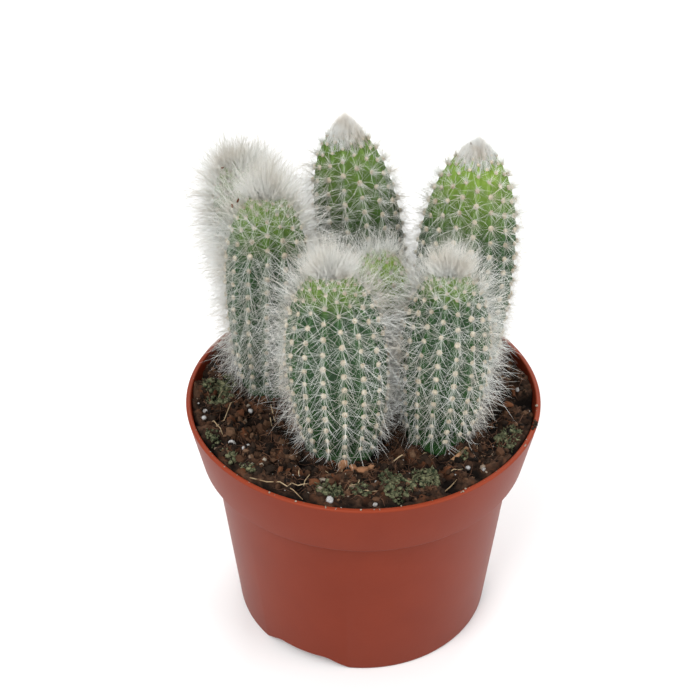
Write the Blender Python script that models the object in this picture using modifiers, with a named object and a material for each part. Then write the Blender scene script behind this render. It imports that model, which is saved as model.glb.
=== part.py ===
"""Potted silver torch cactus: seven spiny stems in the soil of a round nursery pot.

The origin is the middle of the pot's foot, +Z is up, and -Y is the side that faces the viewer.
"""

import math
import random

import bmesh
import bpy
import numpy as np
from mathutils import Vector

# Pot
RIM_RADIUS = 0.0525
POT_HEIGHT = 0.077
COLLAR_HEIGHT = 0.018
COLLAR_FOOT_RADIUS = 0.0489
BODY_TOP_RADIUS = 0.0451
BASE_RADIUS = 0.0395
STEP_HEIGHT = 0.0027
WALL = 0.0012
LIP = 0.0015
EDGE = 0.0006
FLOOR_UNDERSIDE = 0.004
FOOT_RING = 0.0023
POT_STEPS = 48

# Drain notches in the foot ring and drain holes in the floor
NOTCHES = 3
FIRST_NOTCH = math.radians(-28)
NOTCH_HEIGHT = 0.0038
NOTCH_WIDTH = 0.021
NOTCH_SLOPE = 0.006
HOLE_RADIUS = 0.0035
HOLE_CIRCLE = 0.027
DRAIN_HOLE_SIDES = 12

# Soil
GAP = 0.0003
SOIL_LEVEL = 0.073
SOIL_FRONT_RISE = 0.0024
SOIL_LUMP = 0.0004
SOIL_WAVES = (260, 310, 170)
SOIL_RINGS = (0, 0.012, 0.022, 0.031, 0.038, 0.0445)
PLUG_DEPTH = 0.008
PLUG_COLLAR = 0.0012
PLUG_HOLE_SIDES = 18

# Stems: foot and crown are places of the axis seen from above, widest is a share of the height, ribs are even
STEMS = {
    "front_left": dict(foot=(-0.0063, -0.0170), crown=(-0.0090, -0.0180), height=0.0575, radius=0.0142,
                       widest=0.50, foot_share=0.74, dome=2.1, lean=1.3, ribs=16, tuft=0.0120, spine=0.0080),
    "front_right": dict(foot=(0.0220, -0.0120), crown=(0.0233, -0.0120), height=0.0545, radius=0.0127,
                        widest=0.50, foot_share=0.74, dome=2.1, lean=1.0, ribs=16, tuft=0.0110, spine=0.0080),
    "left": dict(foot=(-0.0286, 0.0116), crown=(-0.0273, 0.0098), height=0.0653, radius=0.0122,
                 widest=0.56, foot_share=0.70, dome=2.3, lean=1.0, ribs=14, tuft=0.0130, spine=0.0085),
    "back_left": dict(foot=(-0.0205, 0.0327), crown=(-0.0378, 0.0382), height=0.0598, radius=0.0118,
                      widest=0.50, foot_share=0.72, dome=2.3, lean=0.60, ribs=14, tuft=0.0060, spine=0.0065),
    "back": dict(foot=(0.0034, 0.0350), crown=(-0.0058, 0.0340), height=0.0730, radius=0.0130,
                 widest=0.46, foot_share=0.80, dome=2.6, lean=1.0, ribs=14, tuft=0.0050, spine=0.0055),
    "right": dict(foot=(0.0285, 0.0210), crown=(0.0318, 0.0240), height=0.0720, radius=0.0146,
                  widest=0.44, foot_share=0.80, dome=2.3, lean=1.3, ribs=16, tuft=0.0040, spine=0.0055),
    "middle": dict(foot=(0.0036, 0.0088), crown=(0.0043, 0.0105), height=0.0460, radius=0.0106,
                   widest=0.55, foot_share=0.80, dome=2.2, lean=1.3, ribs=12, tuft=0.0090, spine=0.0080),
}
RIB_DEPTH = 0.0011
AREOLE_SPACING = 0.0066
CROWN_SPACING = 0.0036
LOWEST_AREOLE = 0.0040
CROWN_CAP = 0.0032
SPINE_ROOT = 0.0005
TUFT_CORE = 0.72
TUFT_ROWS = 2
SPINE_SEED = 11
SPINE_TRIES = 40
SPINE_SAMPLES = 11
LONGEST_SPINE = max(max(stem["tuft"], stem["spine"]) for stem in STEMS.values())
BODY_CLEARANCE = 0.0006
SPINE_CLEARANCE = 0.0010
REACH_LIMIT = 0.0524


def smooth_step(low, high, value):
    """0 below low, 1 above high, and a smooth rise between them."""
    share = min(max((value - low) / (high - low), 0.0), 1.0)
    return share * share * (3 - 2 * share)


def clear_scene():
    for thing in list(bpy.data.objects):
        bpy.data.objects.remove(thing, do_unlink=True)


def new_collection(name):
    collection = bpy.data.collections.new(name)
    bpy.context.scene.collection.children.link(collection)
    return collection


def new_material(name, colour, roughness):
    material = bpy.data.materials.new(name)
    material.use_nodes = True
    shader = material.node_tree.nodes["Principled BSDF"]
    shader.inputs["Base Color"].default_value = (*colour, 1)
    shader.inputs["Roughness"].default_value = roughness
    shader.inputs["Metallic"].default_value = 0.0
    return material


def new_object(name, mesh, collection, material=None):
    thing = bpy.data.objects.new(name, mesh)
    collection.objects.link(thing)
    if material:
        mesh.materials.append(material)
    return thing


def mesh_from(bm, name):
    mesh = bpy.data.meshes.new(name)
    bm.to_mesh(mesh)
    bm.free()
    return mesh


def hide_cutter(cutter):
    cutter.hide_render = True
    cutter.display_type = "WIRE"


def cylinder_cutter(name, collection, sides, radius, bottom, top, place):
    """An upright cylinder that cuts a round hole, filed in its collection of cutters."""
    bpy.ops.mesh.primitive_cylinder_add(
        vertices=sides, radius=radius, depth=top - bottom, location=(place[0], place[1], (top + bottom) / 2))
    cutter = bpy.context.object
    cutter.name = name
    for owner in list(cutter.users_collection):
        owner.objects.unlink(cutter)
    collection.objects.link(cutter)
    hide_cutter(cutter)
    return cutter


def at_azimuth(azimuth, radius, z):
    """A point at an azimuth counted from the front, -Y, towards +X."""
    return Vector((radius * math.sin(azimuth), -radius * math.cos(azimuth), z))


def inner_wall_radius(z):
    """Radius of the pot's inner wall at a height."""
    collar_foot = POT_HEIGHT - COLLAR_HEIGHT
    step_foot = collar_foot - STEP_HEIGHT
    heights = (0, step_foot, collar_foot, POT_HEIGHT)
    radii = (BASE_RADIUS - WALL, BODY_TOP_RADIUS - WALL, COLLAR_FOOT_RADIUS - WALL, RIM_RADIUS - LIP)
    return float(np.interp(z, heights, radii))


def pot_profile():
    """Radius and height round the pot's wall: the floor's top, the inside, the lip, the outside, the foot."""
    collar_foot = POT_HEIGHT - COLLAR_HEIGHT
    step_foot = collar_foot - STEP_HEIGHT
    floor = FLOOR_UNDERSIDE + WALL
    ring_inside = BASE_RADIUS - FOOT_RING
    return [
        (0, floor),
        (inner_wall_radius(floor) - EDGE, floor),
        (inner_wall_radius(floor + EDGE), floor + EDGE),
        (BODY_TOP_RADIUS - WALL, step_foot),
        (COLLAR_FOOT_RADIUS - WALL, collar_foot),
        (RIM_RADIUS - LIP, POT_HEIGHT - EDGE),
        (RIM_RADIUS - LIP + EDGE / 2, POT_HEIGHT - EDGE / 6),
        (RIM_RADIUS - LIP + EDGE, POT_HEIGHT),
        (RIM_RADIUS - EDGE, POT_HEIGHT),
        (RIM_RADIUS - EDGE / 4, POT_HEIGHT - EDGE / 4),
        (RIM_RADIUS, POT_HEIGHT - EDGE),
        (COLLAR_FOOT_RADIUS, collar_foot + EDGE / 2),
        (COLLAR_FOOT_RADIUS - EDGE, collar_foot - EDGE / 2),
        (BODY_TOP_RADIUS + EDGE / 2, step_foot + EDGE / 2),
        (BODY_TOP_RADIUS, step_foot - EDGE),
        (BASE_RADIUS, EDGE),
        (BASE_RADIUS - EDGE, 0),
        (ring_inside, 0),
        (ring_inside, FLOOR_UNDERSIDE),
        (0, FLOOR_UNDERSIDE),
    ]


def notch_cutter(number, collection):
    """A trapezoid block through the foot ring: one end slopes, the other is steep."""
    azimuth = FIRST_NOTCH + number * math.tau / NOTCHES
    bm = bmesh.new()
    bmesh.ops.create_cube(bm, size=1)
    for vert in bm.verts:
        across = vert.co.x * NOTCH_WIDTH
        if vert.co.z > 0:
            across += NOTCH_SLOPE / 2 if vert.co.x < 0 else -NOTCH_SLOPE / 6
        height = NOTCH_HEIGHT if vert.co.z > 0 else -NOTCH_HEIGHT
        out = BASE_RADIUS + vert.co.y * FOOT_RING * 3
        vert.co = at_azimuth(azimuth, out, height) + at_azimuth(azimuth + math.pi / 2, across, 0)
    bm.normal_update()
    bmesh.ops.recalc_face_normals(bm, faces=bm.faces)
    cutter = new_object(f"notch_cutter_{number}", mesh_from(bm, "notch"), collection)
    hide_cutter(cutter)
    return cutter


def drain_hole_cutter(number, collection):
    """A drain hole through the floor, half way between two notches."""
    azimuth = FIRST_NOTCH + (number + 0.5) * math.tau / NOTCHES
    place = at_azimuth(azimuth, HOLE_CIRCLE, 0)
    top = FLOOR_UNDERSIDE + 2 * WALL
    return cylinder_cutter(
        f"drain_hole_cutter_{number}", collection, DRAIN_HOLE_SIDES, HOLE_RADIUS, 0, top, place)


def build_pot(collection, cutters):
    """The moulded pot: one turned wall with a collar, its floor raised on a notched foot ring."""
    profile = pot_profile()
    mesh = bpy.data.meshes.new("pot")
    points = [(radius, 0, z) for radius, z in profile]
    edges = [(i, i + 1) for i in range(len(points) - 1)]
    mesh.from_pydata(points, edges, [])
    pot = new_object("pot", mesh, collection, new_material("pot_plastic", (0.27, 0.055, 0.026), 0.5))
    screw = pot.modifiers.new("turn", "SCREW")
    screw.steps = POT_STEPS
    screw.render_steps = POT_STEPS
    screw.use_merge_vertices = True
    screw.merge_threshold = 0.00001
    for number in range(NOTCHES):
        for cutter in (notch_cutter(number, cutters), drain_hole_cutter(number, cutters)):
            cut = pot.modifiers.new(cutter.name, "BOOLEAN")
            cut.operation = "DIFFERENCE"
            cut.object = cutter
    return pot


def stem_radius(stem, height):
    """Radius over the rib crests at a height over the soil: a swelling column under a dome."""
    share = min(max(height / stem["height"], 0.0), 1.0)
    widest = stem["widest"]
    if share < widest:
        return stem["radius"] * (1 - (1 - stem["foot_share"]) * ((widest - share) / widest) ** 2)
    dome = ((share - widest) / (1 - widest)) ** stem["dome"]
    return stem["radius"] * math.sqrt(max(0.0, 1 - dome))


def stem_axis(stem, height):
    """Middle of the stem at a height over the soil; it leans from its plug's collar to its crown."""
    risen = (height - PLUG_COLLAR) / (stem["height"] - PLUG_COLLAR)
    share = min(max(risen, 0.0), 1.0) ** stem["lean"]
    foot = Vector(stem["foot"])
    middle = foot.lerp(Vector(stem["crown"]), share)
    return Vector((middle.x, middle.y, SOIL_LEVEL + height))


def crown_height(stem):
    """Height over the soil at which the dome is as narrow as the foot of the tuft's core."""
    heights = np.linspace(stem["widest"] * stem["height"], stem["height"], 200)
    radii = [stem_radius(stem, height) for height in heights]
    return float(np.interp(-CROWN_CAP, [-radius for radius in radii], heights))


def areole_rows(stem):
    """Heights of the rows of areoles over the soil, spaced along the outline and closer near the crown."""
    heights = np.linspace(0, crown_height(stem), 600)
    radii = np.array([stem_radius(stem, height) for height in heights])
    along = np.concatenate([[0], np.cumsum(np.hypot(np.diff(heights), np.diff(radii)))])
    rows = []
    place = along[-1]
    while place > LOWEST_AREOLE:
        rows.append(float(np.interp(place, along, heights)))
        near_crown = 1 - smooth_step(0, 4 * CROWN_SPACING, along[-1] - place)
        place -= AREOLE_SPACING + (CROWN_SPACING - AREOLE_SPACING) * near_crown
    return rows


def stem_levels(stem):
    """Rings from the crown to the foot: height over the soil, radius, rib depth, and share of stagger."""
    rows = areole_rows(stem)
    levels = []
    for number, height in enumerate(rows):
        radius = stem_radius(stem, height)
        below = rows[number + 1] if number + 1 < len(rows) else height - AREOLE_SPACING
        stagger = (height - below) / 4 * smooth_step(0, 2, number)
        levels.append((height, radius, min(RIB_DEPTH, radius * 0.12), stagger))
    foot = stem_radius(stem, PLUG_COLLAR)
    levels.append((PLUG_COLLAR, foot, 0, 0))
    levels.append((-PLUG_DEPTH * 0.7, foot, 0, 0))
    levels.append((-PLUG_DEPTH * 0.95, foot * 0.75, 0, 0))
    return levels, len(rows)


def stem_body(stem):
    """A sphere whose rings and columns are moved to the ribbed body; also gives the areoles' vertices."""
    levels, row_count = stem_levels(stem)
    columns = 2 * stem["ribs"]
    rings = len(levels) + 1
    bm = bmesh.new()
    bmesh.ops.create_uvsphere(bm, u_segments=columns, v_segments=rings, radius=1)
    areoles = []
    for vert in bm.verts:
        ring = round(math.acos(max(-1, min(1, vert.co.z))) / math.pi * rings)
        if ring == 0:
            vert.co = stem_axis(stem, stem["height"])
            vert.co.z += stem["tuft"] * TUFT_CORE
            continue
        if ring == rings:
            vert.co = stem_axis(stem, -PLUG_DEPTH)
            continue
        height, radius, depth, stagger = levels[ring - 1]
        column = round(math.atan2(vert.co.y, vert.co.x) / math.tau * columns) % columns
        crest = column % 2 == 0
        if crest:
            height += stagger if column % 4 == 0 else -stagger
            if ring <= row_count:
                areoles.append(vert)
                radius = stem_radius(stem, height)
        else:
            radius -= depth
        angle = column / columns * math.tau
        vert.co = stem_axis(stem, height) + Vector((math.cos(angle), math.sin(angle), 0)) * radius
    return bm, areoles


def soil_height(x, y):
    """Height of the soil: low lumps, and a rise towards the rim, highest at the front."""
    out = math.hypot(x, y)
    edge = smooth_step(SOIL_RINGS[-3], SOIL_RINGS[-1], out)
    front = 0.5 - 0.5 * y / max(out, 0.001)
    lumps = math.sin(x * SOIL_WAVES[0] + 1) * math.cos(y * SOIL_WAVES[1]) + math.sin((x + y) * SOIL_WAVES[2])
    return SOIL_LEVEL + SOIL_FRONT_RISE * edge * (0.25 + 0.75 * front) + SOIL_LUMP * lumps / 2


def solid_table(stem):
    """Heights, the axis and the radius of all that is solid: plug, body, and the core of the tuft."""
    cap = crown_height(stem)
    top = stem["height"] + stem["tuft"] * TUFT_CORE
    heights = np.linspace(-PLUG_DEPTH, top, 160)
    rows = []
    for height in heights:
        middle = stem_axis(stem, height)
        radius = stem_radius(stem, max(height, PLUG_COLLAR))
        if height > cap:
            radius = stem_radius(stem, cap) * (top - height) / (top - cap)
        rows.append((middle.z, middle.x, middle.y, radius))
    return np.array(rows).T


def clear_of_bodies(line, own, tables):
    """True if a line of points keeps clear of the stems, soil and pot, and inside the object's own box."""
    if np.abs(line[:, :2]).max() > REACH_LIMIT:
        return False
    for x, y, z in line:
        if z < POT_HEIGHT + BODY_CLEARANCE:
            in_soil = z < soil_height(x, y) + BODY_CLEARANCE
            if in_soil or math.hypot(x, y) > inner_wall_radius(z) - BODY_CLEARANCE:
                return False
    for name, (heights, axis_x, axis_y, radii) in tables.items():
        tested = line[2:] if name == own else line
        z = tested[:, 2]
        off_x = tested[:, 0] - np.interp(z, heights, axis_x)
        off_y = tested[:, 1] - np.interp(z, heights, axis_y)
        room = np.hypot(off_x, off_y) - np.interp(z, heights, radii)
        room = np.where(z > heights[-1] + BODY_CLEARANCE, 1, room)
        if room.min() < (BODY_CLEARANCE / 2 if name == own else BODY_CLEARANCE):
            return False
    return True


class SpineSpace:
    """The spines placed so far, as lines of points, so that a new one can be kept from crossing them."""

    def __init__(self):
        self.lines = np.full((3000, SPINE_SAMPLES, 3), 1000.0)
        self.count = 0

    def crosses(self, line):
        roots = self.lines[:self.count, 0]
        near = self.lines[:self.count][np.linalg.norm(roots - line[0], axis=1) < 2.2 * LONGEST_SPINE]
        if not len(near):
            return False
        gaps = np.linalg.norm(near[:, :, None] - line[None, None], axis=3)
        return gaps.min() < SPINE_CLEARANCE

    def add(self, line):
        self.lines[self.count] = line
        self.count += 1


def place_spine(root, normal, length, upright, own, space, tables, rng):
    """The tip of a spine that crosses nothing: it is turned, and then shortened, until it is clear."""
    shares = np.linspace(0, 1, SPINE_SAMPLES)[:, None]
    for attempt in range(SPINE_TRIES):
        shortening = 1 - 0.8 * smooth_step(SPINE_TRIES * 0.5, SPINE_TRIES, attempt)
        spread = 0.55 + 0.5 * smooth_step(0, SPINE_TRIES * 0.6, attempt)
        side = Vector([rng.gauss(0, 1) for _ in range(3)])
        side -= normal * side.dot(normal)
        way = normal + side.normalized() * spread * rng.uniform(0.4, 1.1)
        if upright:
            way = Vector((0, 0, 1)) + normal * 0.30 + side.normalized() * 0.12
        tip = root + way.normalized() * length * shortening * rng.uniform(0.9, 1.05)
        line = np.array(root) * (1 - shares) + np.array(tip) * shares
        if clear_of_bodies(line, own, tables) and not space.crosses(line):
            space.add(line)
            return tip
    return None


def grow_spines(bm, areoles, name, space, tables, rng):
    """Each areole's vertex is cut to a small facet, and the facet's middle is drawn out into a spine."""
    stem = STEMS[name]
    cut = bmesh.ops.bevel(
        bm, geom=areoles, offset=SPINE_ROOT, offset_type="OFFSET", affect="VERTICES",
        segments=1, profile=0.5, material=-1, clamp_overlap=True)
    facets = sorted(cut["faces"], key=lambda face: (-face.calc_center_median().z, face.index))
    upright_above = areole_rows(stem)[TUFT_ROWS - 1] - CROWN_SPACING / 4
    bm.normal_update()
    places = []
    for facet in facets:
        root = facet.calc_center_median()
        middle = stem_axis(stem, root.z - SOIL_LEVEL)
        outward = Vector((root.x - middle.x, root.y - middle.y, 0)).normalized()
        normal = (facet.normal + outward * 0.5).normalized()
        upright = root.z - SOIL_LEVEL > upright_above
        length = stem["tuft"] if upright else stem["spine"]
        tip = place_spine(root, normal, length, upright, name, space, tables, rng)
        if tip is not None:
            places.append((facet, tip))
    for facet, tip in places:
        drawn = bmesh.ops.poke(bm, faces=[facet])
        drawn["verts"][0].co = tip
    bmesh.ops.triangulate(bm, faces=bm.faces, quad_method="SHORT_EDGE", ngon_method="BEAUTY")
    return len(places)


def build_stems(collection):
    """Every stem: ribbed body, tuft core and spines in one mesh."""
    material = new_material("cactus_green", (0.09, 0.16, 0.06), 0.6)
    rng = random.Random(SPINE_SEED)
    space = SpineSpace()
    tables = {name: solid_table(stem) for name, stem in STEMS.items()}
    for name, stem in STEMS.items():
        bm, areoles = stem_body(stem)
        grow_spines(bm, areoles, name, space, tables, rng)
        new_object(f"stem_{name}", mesh_from(bm, name), collection, material)


def plug_hole_cutter(name, collection):
    """What a stem's plug leaves in the soil: a plain hole a gap wider and deeper than the plug."""
    stem = STEMS[name]
    radius = (stem_radius(stem, PLUG_COLLAR) + GAP) / math.cos(math.pi / PLUG_HOLE_SIDES)
    foot = SOIL_LEVEL - PLUG_DEPTH - GAP
    head = SOIL_LEVEL + 2 * PLUG_COLLAR
    cylinder_cutter(
        f"plug_hole_cutter_{name}", collection, PLUG_HOLE_SIDES, radius, foot, head, stem["foot"])


def build_soil(collection, hole_cutters):
    """The filling of the pot: a turned solid that follows the inner wall, with a lumpy top."""
    floor = FLOOR_UNDERSIDE + WALL + GAP
    step_foot = POT_HEIGHT - COLLAR_HEIGHT - STEP_HEIGHT
    brim = inner_wall_radius(SOIL_LEVEL) - GAP
    profile = [(radius, SOIL_LEVEL) for radius in (*SOIL_RINGS, brim)]
    for z in (step_foot + STEP_HEIGHT, step_foot, floor + EDGE):
        profile.append((inner_wall_radius(z) - GAP, z))
    profile.append((inner_wall_radius(floor) - GAP - EDGE, floor))
    profile.append((0, floor))
    bm = bmesh.new()
    verts = [bm.verts.new((radius, 0, z)) for radius, z in profile]
    edges = [bm.edges.new(pair) for pair in zip(verts, verts[1:])]
    bmesh.ops.spin(
        bm, geom=verts + edges, cent=(0, 0, 0), axis=(0, 0, 1), angle=math.tau,
        steps=POT_STEPS, use_merge=True)
    bmesh.ops.remove_doubles(bm, verts=bm.verts, dist=0.00001)
    for vert in bm.verts:
        if abs(vert.co.z - SOIL_LEVEL) < EDGE / 10:
            vert.co.z = soil_height(vert.co.x, vert.co.y)
    bmesh.ops.recalc_face_normals(bm, faces=bm.faces)
    material = new_material("potting_soil", (0.05, 0.028, 0.017), 0.95)
    soil = new_object("soil", mesh_from(bm, "soil"), collection, material)
    cut = soil.modifiers.new("plug_holes", "BOOLEAN")
    cut.operation = "DIFFERENCE"
    cut.operand_type = "COLLECTION"
    cut.collection = hole_cutters
    return soil


clear_scene()
parts = new_collection("potted_silver_torch_cactus")
pot_cutters = new_collection("pot_cutters")
plug_holes = new_collection("plug_holes")
pot_object = build_pot(parts, pot_cutters)
for stem_name in STEMS:
    plug_hole_cutter(stem_name, plug_holes)
build_soil(parts, plug_holes)
build_stems(parts)
pot_object.data.shade_smooth()
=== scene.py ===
import math

import bmesh
import bpy
import numpy as np
from mathutils import Matrix, Vector, noise


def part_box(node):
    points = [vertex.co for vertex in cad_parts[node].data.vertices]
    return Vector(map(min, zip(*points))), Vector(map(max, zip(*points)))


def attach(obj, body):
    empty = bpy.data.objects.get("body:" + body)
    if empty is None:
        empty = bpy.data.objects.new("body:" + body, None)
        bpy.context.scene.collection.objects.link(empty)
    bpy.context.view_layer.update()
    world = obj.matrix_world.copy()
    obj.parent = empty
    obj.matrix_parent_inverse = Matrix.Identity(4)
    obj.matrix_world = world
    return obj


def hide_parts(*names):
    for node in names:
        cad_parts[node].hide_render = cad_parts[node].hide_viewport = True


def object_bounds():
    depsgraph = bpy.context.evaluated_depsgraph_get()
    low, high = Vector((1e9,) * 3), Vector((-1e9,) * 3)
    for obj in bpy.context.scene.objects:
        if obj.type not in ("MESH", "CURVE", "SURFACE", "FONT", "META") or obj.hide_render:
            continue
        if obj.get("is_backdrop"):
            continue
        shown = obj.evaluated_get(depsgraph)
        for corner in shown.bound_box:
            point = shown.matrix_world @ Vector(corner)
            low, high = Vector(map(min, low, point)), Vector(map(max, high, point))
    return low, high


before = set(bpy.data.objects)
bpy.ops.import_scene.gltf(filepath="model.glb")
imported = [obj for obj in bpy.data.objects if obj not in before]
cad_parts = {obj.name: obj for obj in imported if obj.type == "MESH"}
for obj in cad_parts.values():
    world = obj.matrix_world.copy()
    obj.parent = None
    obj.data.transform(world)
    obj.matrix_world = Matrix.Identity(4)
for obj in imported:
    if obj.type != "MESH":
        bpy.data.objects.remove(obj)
cad_low, cad_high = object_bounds()

# Camera: held a third of a metre above and in front of the pot, looking 36 degrees down.
# Its place and lens come from the pot's own rim, collar and foot as they stand in the photo.
LENS = 73.75
SENSOR = 36.0
CAMERA_PLACE = (0.0, -0.3353, 0.3387)
LOOKS_DOWN = math.radians(36.33)
LOOKS_LEFT = math.radians(0.67)
camera_data = bpy.data.cameras.new("camera")
camera_data.lens = LENS
camera_data.sensor_width = SENSOR
camera_data.clip_start = 0.01
camera = bpy.data.objects.new("camera", camera_data)
camera.location = CAMERA_PLACE
camera.rotation_euler = (math.pi / 2 - LOOKS_DOWN, 0, LOOKS_LEFT)
bpy.context.collection.objects.link(camera)
bpy.context.scene.camera = camera

# Studio: a plain pale floor under a white tent, a broad soft light from the upper left, a weaker
# one from the right and one from behind. Each light has its place, its size and its power.
FLOOR_SIZE = 8.0
TENT_STRENGTH = 0.80
LIGHTS = {
    "key": ((-0.55, -0.75, 1.05), 0.75, 12.0),
    "fill": ((0.85, -0.35, 0.60), 0.70, 5.0),
    "back": ((0.10, 0.90, 0.95), 0.80, 7.0),
}
LIT_PLACE = Vector((0, 0, 0.07))
bpy.context.scene.view_settings.view_transform = "Standard"
world = bpy.data.worlds.new("tent")
world.use_nodes = True
world.node_tree.nodes["Background"].inputs["Color"].default_value = (1, 1, 1, 1)
world.node_tree.nodes["Background"].inputs["Strength"].default_value = TENT_STRENGTH
bpy.context.scene.world = world
for light_name, (place, size, power) in LIGHTS.items():
    light_data = bpy.data.lights.new(light_name, "AREA")
    light_data.size = size
    light_data.energy = power
    light = bpy.data.objects.new(light_name, light_data)
    light.location = place
    light.rotation_euler = (LIT_PLACE - Vector(place)).to_track_quat("-Z", "Y").to_euler()
    bpy.context.collection.objects.link(light)
bm = bmesh.new()
bmesh.ops.create_grid(bm, x_segments=1, y_segments=1, size=FLOOR_SIZE / 2)
floor_mesh = bpy.data.meshes.new("floor")
bm.to_mesh(floor_mesh)
bm.free()
floor = bpy.data.objects.new("floor", floor_mesh)
bpy.context.collection.objects.link(floor)
floor_paint = bpy.data.materials.new("floor_paint")
floor_paint.use_nodes = True
floor_shader = floor_paint.node_tree.nodes["Principled BSDF"]
floor_shader.inputs["Base Color"].default_value = (0.86, 0.86, 0.86, 1)
floor_shader.inputs["Roughness"].default_value = 0.9
floor_mesh.materials.append(floor_paint)
floor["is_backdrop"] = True

# Pot: a thin injection-moulded nursery pot of terracotta-coloured polypropylene. A flared collar
# ends in a soft step, and the floor stands on a foot ring with three drain notches.
RIM_RADIUS = 0.0525
POT_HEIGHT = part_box("pot")[1].z
COLLAR_FOOT = POT_HEIGHT - 0.018
STEP_FOOT = COLLAR_FOOT - 0.0027
COLLAR_FOOT_RADIUS = 0.0489
BODY_TOP_RADIUS = 0.0451
BASE_RADIUS = 0.0395
WALL = 0.0012
LIP = 0.0015
FLOOR_UNDERSIDE = 0.004
RING_INSIDE = BASE_RADIUS - 0.0023
POT_STEPS = 192
NOTCHES = 3
FIRST_NOTCH = math.radians(-27)
NOTCH_HEIGHT = 0.0038
NOTCH_TOP_WIDTH = 0.0180
NOTCH_FOOT_WIDTH = 0.0310
NOTCH_ROUNDING = 0.0018
NOTCH_MIDDLE = BASE_RADIUS - 0.002
NOTCH_DEPTH = 0.014
HOLE_RADIUS = 0.0035
HOLE_CIRCLE = 0.027
HOLE_DEPTH = 0.006
SHARP_ANGLE = math.radians(35)


def rounded(outline, steps):
    """Points along an outline of (radius, height, fillet) corners, each corner drawn as a short arc."""
    points = []
    for number, (radius, height, fillet) in enumerate(outline):
        corner = Vector((radius, height))
        if fillet == 0:
            points.append(corner)
            continue
        back = Vector(outline[number - 1][:2]) - corner
        ahead = Vector(outline[number + 1][:2]) - corner
        reach = fillet / math.tan(back.angle(ahead) / 2)
        reach = min(reach, back.length * 0.49, ahead.length * 0.49)
        start = corner + back.normalized() * reach
        end = corner + ahead.normalized() * reach
        for step in range(steps + 1):
            share = step / steps
            towards_corner = corner * 2 * share * (1 - share)
            points.append(start * (1 - share) ** 2 + towards_corner + end * share ** 2)
    return points


def turned(profile, steps):
    """A closed solid spun round the Z axis from points of radius and height."""
    bm = bmesh.new()
    verts = [bm.verts.new((radius, 0, height)) for radius, height in profile]
    edges = [bm.edges.new(pair) for pair in zip(verts, verts[1:])]
    bmesh.ops.spin(
        bm, geom=verts + edges, cent=(0, 0, 0), axis=(0, 0, 1), angle=math.tau,
        steps=steps, use_merge=True)
    bmesh.ops.remove_doubles(bm, verts=bm.verts, dist=1e-6)
    bmesh.ops.recalc_face_normals(bm, faces=bm.faces)
    return bm


def round_edges(bm, edges, rounding, segments):
    bmesh.ops.bevel(
        bm, geom=edges, offset=rounding, offset_type="OFFSET", affect="EDGES", segments=segments,
        profile=0.5, material=-1)


def new_piece(name, mesh):
    piece = bpy.data.objects.new(name, mesh)
    bpy.context.collection.objects.link(piece)
    return piece


def piece_from(bm, name):
    mesh = bpy.data.meshes.new(name)
    bm.to_mesh(mesh)
    bm.free()
    mesh.shade_smooth()
    return new_piece(name, mesh)


def at_azimuth(azimuth, radius, z):
    """A point at an azimuth counted from the front, towards +X."""
    return Vector((radius * math.sin(azimuth), -radius * math.cos(azimuth), z))


pot_outline = [
    (0, FLOOR_UNDERSIDE + WALL, 0),
    (BASE_RADIUS - WALL, FLOOR_UNDERSIDE + WALL, 0.0012),
    (BODY_TOP_RADIUS - WALL, STEP_FOOT, 0.002),
    (COLLAR_FOOT_RADIUS - WALL, COLLAR_FOOT, 0.002),
    (RIM_RADIUS - LIP, POT_HEIGHT, 0.0005),
    (RIM_RADIUS, POT_HEIGHT, 0.0007),
    (COLLAR_FOOT_RADIUS, COLLAR_FOOT, 0.0005),
    (BODY_TOP_RADIUS, STEP_FOOT, 0.0035),
    (BASE_RADIUS, 0, 0.0010),
    (RING_INSIDE, 0, 0.0004),
    (RING_INSIDE, FLOOR_UNDERSIDE, 0.0008),
    (0, FLOOR_UNDERSIDE, 0),
]
pot = piece_from(turned(rounded(pot_outline, 5), POT_STEPS), "pot_shell")
cutters = []
for number in range(NOTCHES):
    azimuth = FIRST_NOTCH + number * math.tau / NOTCHES
    bm = bmesh.new()
    bmesh.ops.create_cube(bm, size=1)
    for vert in bm.verts:
        at_top = vert.co.z > 0
        across = vert.co.x * (NOTCH_TOP_WIDTH if at_top else 2 * NOTCH_FOOT_WIDTH - NOTCH_TOP_WIDTH)
        height = NOTCH_HEIGHT if at_top else -NOTCH_HEIGHT
        out = NOTCH_MIDDLE + vert.co.y * NOTCH_DEPTH
        vert.co = at_azimuth(azimuth, out, height) + at_azimuth(azimuth + math.pi / 2, across, 0)
    bm.normal_update()
    bmesh.ops.recalc_face_normals(bm, faces=bm.faces)
    top_edges = [edge for edge in bm.edges if all(vert.co.z > 0 for vert in edge.verts)]
    round_edges(bm, top_edges, NOTCH_ROUNDING, 5)
    cutters.append(piece_from(bm, "notch"))
    bm = bmesh.new()
    hole = at_azimuth(azimuth + math.pi / NOTCHES, HOLE_CIRCLE, FLOOR_UNDERSIDE)
    bmesh.ops.create_cone(
        bm, cap_ends=True, segments=32, radius1=HOLE_RADIUS, radius2=HOLE_RADIUS, depth=HOLE_DEPTH,
        matrix=Matrix.Translation(hole))
    cutters.append(piece_from(bm, "drain_hole"))
for cutter in cutters:
    cut = pot.modifiers.new(cutter.name, "BOOLEAN")
    cut.object = cutter
    cut.operation = "DIFFERENCE"
depsgraph = bpy.context.evaluated_depsgraph_get()
pot_mesh = bpy.data.meshes.new_from_object(pot.evaluated_get(depsgraph))
pot.modifiers.clear()
pot.data = pot_mesh
for cutter in cutters:
    bpy.data.objects.remove(cutter)
pot_mesh.shade_smooth()
pot_mesh.set_sharp_from_angle(angle=SHARP_ANGLE)


def new_material(name):
    material = bpy.data.materials.new(name)
    material.use_nodes = True
    return material, material.node_tree, material.node_tree.nodes["Principled BSDF"]


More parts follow.
